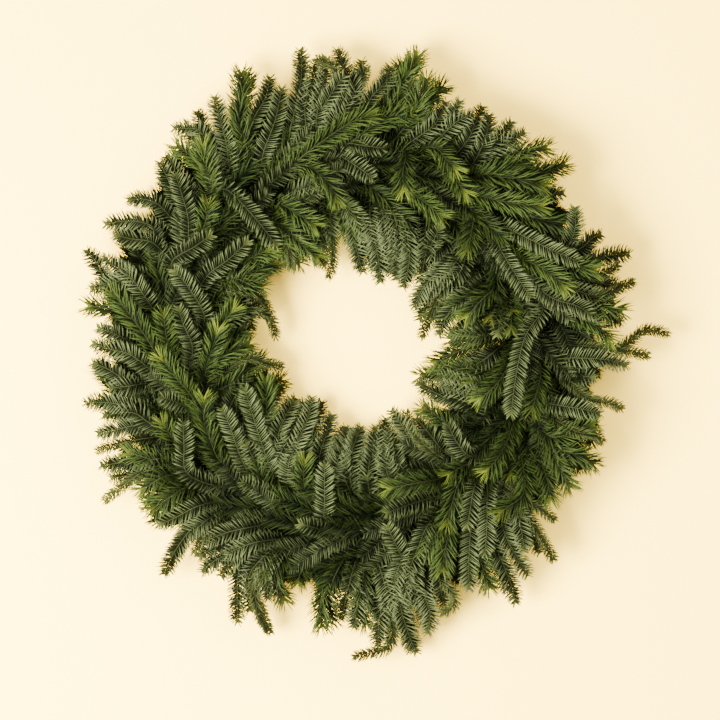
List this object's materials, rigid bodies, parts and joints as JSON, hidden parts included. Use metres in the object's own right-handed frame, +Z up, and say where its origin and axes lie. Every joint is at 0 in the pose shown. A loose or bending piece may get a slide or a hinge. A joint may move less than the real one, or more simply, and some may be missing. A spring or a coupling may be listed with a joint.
{
  "type": "evergreen wreath",
  "caption": "Round wreath of fresh fir sprays laid one over the next round a wire ring and bound on with wire, with an open hole in the middle.",
  "frame": {"origin": "centre of the bounding box in X and Y, at the lowest facets of the binding wire", "axes": "+Z up out of the wreath's face as it lies on its back, +Y towards the top of the picture, +X to its right"},
  "size_m": [0.587, 0.6112, 0.0945],
  "materials": {
    "outer_foliage": "matte green needles",
    "top_foliage": "matte grey-green needles",
    "inner_foliage": "matte green needles",
    "ring_wire": "dark green enamel",
    "binding_wire": "dark green paddle wire"
  },
  "bodies": {
    "root": {"binding_wire": "binding_wire", "spray_inner_01": "inner_foliage", "spray_inner_03": "inner_foliage", "spray_inner_04": "inner_foliage", "spray_inner_05": "inner_foliage", "spray_inner_06": "inner_foliage", "spray_inner_08": "inner_foliage", "spray_inner_09": "inner_foliage", "spray_inner_10": "inner_foliage", "spray_inner_11": "inner_foliage", "spray_inner_12": "inner_foliage", "spray_inner_13": "inner_foliage", "spray_inner_14": "inner_foliage", "spray_inner_15": "inner_foliage", "spray_inner_16": "inner_foliage", "spray_inner_17": "inner_foliage", "spray_inner_18": "inner_foliage", "spray_inner_19": "inner_foliage", "spray_outer_01": "outer_foliage", "spray_outer_02": "outer_foliage", "spray_outer_03": "outer_foliage", "spray_outer_04": "outer_foliage", "spray_outer_05": "outer_foliage", "spray_outer_06": "outer_foliage", "spray_outer_07": "outer_foliage", "spray_outer_08": "outer_foliage", "spray_outer_09": "outer_foliage", "spray_outer_10": "outer_foliage", "spray_outer_11": "outer_foliage", "spray_outer_12": "outer_foliage", "spray_outer_13": "outer_foliage", "spray_outer_14": "outer_foliage", "spray_outer_15": "outer_foliage", "spray_outer_16": "outer_foliage", "spray_outer_17": "outer_foliage", "spray_outer_18": "outer_foliage", "spray_outer_19": "outer_foliage", "spray_top_01": "top_foliage", "spray_top_02": "top_foliage", "spray_top_03": "top_foliage", "spray_top_04": "top_foliage", "spray_top_05": "top_foliage", "spray_top_06": "top_foliage", "spray_top_07": "top_foliage", "spray_top_08": "top_foliage", "spray_top_09": "top_foliage", "spray_top_10": "top_foliage", "spray_top_11": "top_foliage", "spray_top_12": "top_foliage", "spray_top_13": "top_foliage", "spray_top_14": "top_foliage", "spray_top_15": "top_foliage", "spray_top_16": "top_foliage", "spray_top_17": "top_foliage", "spray_top_18": "top_foliage", "spray_top_19": "top_foliage", "wire_ring": "ring_wire"}
  },
  "joints": []
}
